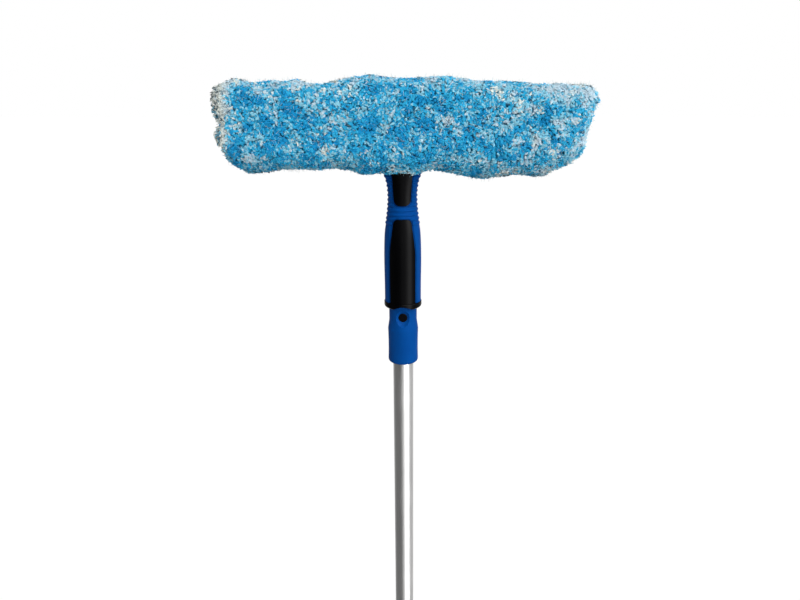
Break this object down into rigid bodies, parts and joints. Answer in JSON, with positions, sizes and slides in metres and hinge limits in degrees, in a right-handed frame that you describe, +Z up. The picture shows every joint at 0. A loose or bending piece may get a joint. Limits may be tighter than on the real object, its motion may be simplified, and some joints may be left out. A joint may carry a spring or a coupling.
{
  "type": "window scrubber",
  "caption": "Window scrubber: a wide blue and white pile sleeve on a T-bar handle, clicked onto a telescopic aluminium pole with a twist lock.",
  "frame": {"origin": "on the pole's axis, at the middle of the lower tube's bare stretch, where a holder grips it", "axes": "+Z up along the pole to the scrubber, +X along the T-bar to the right seen from the front, -Y the front with the release button"},
  "size_m": [0.374, 0.056, 1.2041],
  "materials": {
    "aluminium_tube": "satin anodised",
    "grip_rubber": "matt moulded rubber",
    "black_plastic": "moulded",
    "white_plastic": "moulded acetal",
    "blue_plastic": "moulded, half gloss",
    "bar_plastic": "moulded",
    "black_rubber": "soft moulded, smooth",
    "steel": "plated",
    "pile_fabric": "twisted microfibre pile, blue and white",
    "hook_tape": "woven tape"
  },
  "bodies": {
    "lower_pole": {"lower_tube": "aluminium_tube", "hand_grip": "grip_rubber", "end_cap": "black_plastic", "thread_bush": "black_plastic", "lock_collet": "white_plastic"},
    "nut": {"lock_nut": "blue_plastic"},
    "upper_pole": {"upper_tube": "aluminium_tube", "guide_bush": "white_plastic", "pole_connector": "blue_plastic", "connector_rivet": "steel", "catch_spring": "steel"},
    "button": {"release_button": "black_plastic"},
    "tool": {"handle_body": "blue_plastic", "front_grip_pad": "black_rubber", "rear_grip_pad": "black_rubber", "front_neck_pad": "black_rubber", "rear_neck_pad": "black_rubber", "lip_ring": "black_rubber", "t_bar": "bar_plastic", "left_bar_cap": "bar_plastic", "right_bar_cap": "bar_plastic", "neck_screws": "steel", "scrub_sleeve": "pile_fabric", "closure_hook_tape": "hook_tape", "closure_loop_tape": "hook_tape"}
  },
  "joints": [
    {"name": "pole_extend", "type": "slide", "parent": "lower_pole", "child": "upper_pole", "axis": [0, 0, 1], "range_m": [-0.34, 0]},
    {"name": "lock_nut_turn", "type": "hinge", "parent": "lower_pole", "child": "nut", "pos_m": [0, 0, 0.166], "axis": [0, 0, 1], "range_deg": [0, 90]},
    {"name": "button_press", "type": "slide", "parent": "upper_pole", "child": "button", "axis": [0, 1, 0], "range_m": [0, 0.003], "stiffness_N_per_m": 400, "springref_m": -0.004, "deforming": ["catch_spring"]},
    {"name": "tool_lift", "type": "slide", "parent": "upper_pole", "child": "tool", "axis": [0, 0, 1], "range_m": [0, 0.11], "deforming": ["catch_spring"]}
  ]
}
